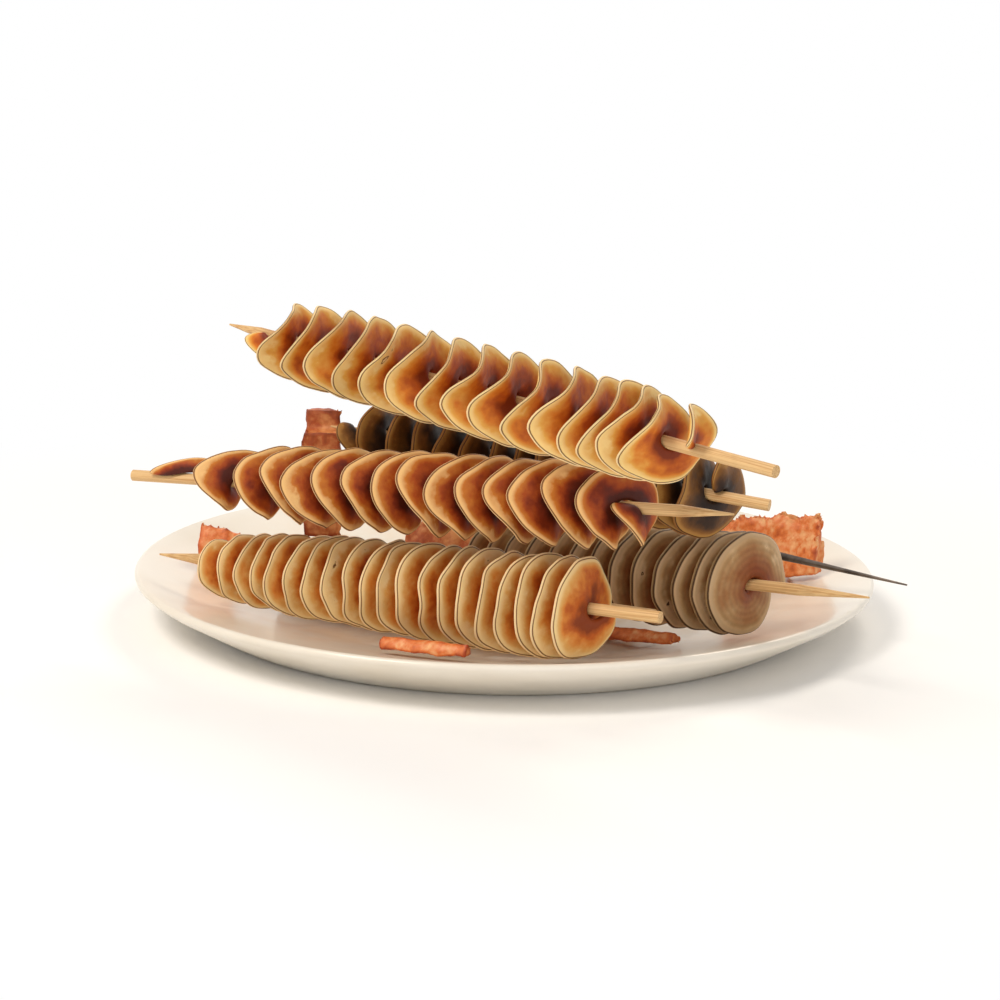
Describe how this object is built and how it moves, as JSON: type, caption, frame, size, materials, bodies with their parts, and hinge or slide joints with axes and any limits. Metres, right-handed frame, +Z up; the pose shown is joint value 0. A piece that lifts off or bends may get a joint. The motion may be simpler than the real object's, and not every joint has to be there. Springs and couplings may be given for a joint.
{
  "type": "platter of skewered spiral potatoes",
  "caption": "Round glazed platter with a foot ring, heaped with spiral-cut potatoes on skewers and fried wedges. Skewers lift or draw out and the spirals slide along them.",
  "frame": {"origin": "centre of the platter's foot ring, on the surface it stands on", "axes": "+Z up, -Y towards the diner, +X to the diner's right"},
  "size_m": [0.3549, 0.4125, 0.1523],
  "materials": {
    "porcelain": "clear glaze over cream-white porcelain",
    "bamboo": "split bamboo, lightly toasted",
    "steel": "drawn steel rod, darkened by heat",
    "fried_spiral": "deep-fried potato, golden with browned edges",
    "fried_wedge": "deep-fried seasoned potato wedge, orange-red crust"
  },
  "bodies": {
    "root": {"platter": "porcelain", "wedge_front": "fried_wedge", "wedge_under_left": "fried_wedge", "wedge_mid_right": "fried_wedge"},
    "roll_hidden": {"skewer_hidden": "bamboo", "potato_hidden": "fried_spiral"},
    "roll_right": {"skewer_right": "bamboo", "potato_right": "fried_spiral"},
    "roll_front": {"skewer_front": "bamboo", "potato_front": "fried_spiral", "wedge_prop": "fried_wedge"},
    "stick_rear": {"skewer_rear": "bamboo"},
    "spiral_rear": {"potato_rear": "fried_spiral"},
    "stick_middle": {"skewer_middle": "bamboo"},
    "spiral_middle": {"potato_middle": "fried_spiral"},
    "stick_top": {"skewer_top": "bamboo"},
    "spiral_top": {"potato_top": "fried_spiral"},
    "stick_steel": {"skewer_steel": "steel"},
    "spiral_steel": {"potato_steel": "fried_spiral"},
    "chip_left": {"wedge_left": "fried_wedge"},
    "chip_right": {"wedge_right": "fried_wedge"},
    "chip_core": {"wedge_core": "fried_wedge"}
  },
  "joints": [
    {"name": "lift_hidden", "type": "slide", "parent": "root", "child": "roll_hidden", "axis": [0, 0, 1], "range_m": [0, 0.08]},
    {"name": "lift_right", "type": "slide", "parent": "roll_hidden", "child": "roll_right", "axis": [0, 0, 1], "range_m": [0, 0.08]},
    {"name": "lift_front", "type": "slide", "parent": "roll_right", "child": "roll_front", "axis": [0, 0, 1], "range_m": [0, 0.08]},
    {"name": "lift_rear", "type": "slide", "parent": "roll_front", "child": "stick_rear", "axis": [0, 0, 1], "range_m": [0, 0.08]},
    {"name": "slide_rear", "type": "slide", "parent": "stick_rear", "child": "spiral_rear", "axis": [0.9237, -0.3751, -0.0785], "range_m": [0, 0.01]},
    {"name": "lift_middle", "type": "slide", "parent": "stick_rear", "child": "stick_middle", "axis": [0, 0, 1], "range_m": [0, 0.08]},
    {"name": "slide_middle", "type": "slide", "parent": "stick_middle", "child": "spiral_middle", "axis": [0.9163, -0.3984, 0.0419], "range_m": [0, 0.02]},
    {"name": "lift_top", "type": "slide", "parent": "stick_middle", "child": "stick_top", "axis": [0, 0, 1], "range_m": [0, 0.12]},
    {"name": "slide_top", "type": "slide", "parent": "stick_top", "child": "spiral_top", "axis": [-0.7215, 0.6894, 0.0645], "range_m": [0, 0.28]},
    {"name": "lift_steel", "type": "slide", "parent": "root", "child": "stick_steel", "axis": [0, 0, 1], "range_m": [0, 0.12]},
    {"name": "slide_steel", "type": "slide", "parent": "stick_steel", "child": "spiral_steel", "axis": [0.6412, -0.7669, 0.0262], "range_m": [0, 0.02]},
    {"name": "lift_chip_left", "type": "slide", "parent": "root", "child": "chip_left", "axis": [0, 0, 1], "range_m": [0, 0.06]},
    {"name": "lift_chip_right", "type": "slide", "parent": "root", "child": "chip_right", "axis": [0, 0, 1], "range_m": [0, 0.09]},
    {"name": "lift_chip_core", "type": "slide", "parent": "root", "child": "chip_core", "axis": [0, 0, 1], "range_m": [0, 0.09]}
  ]
}
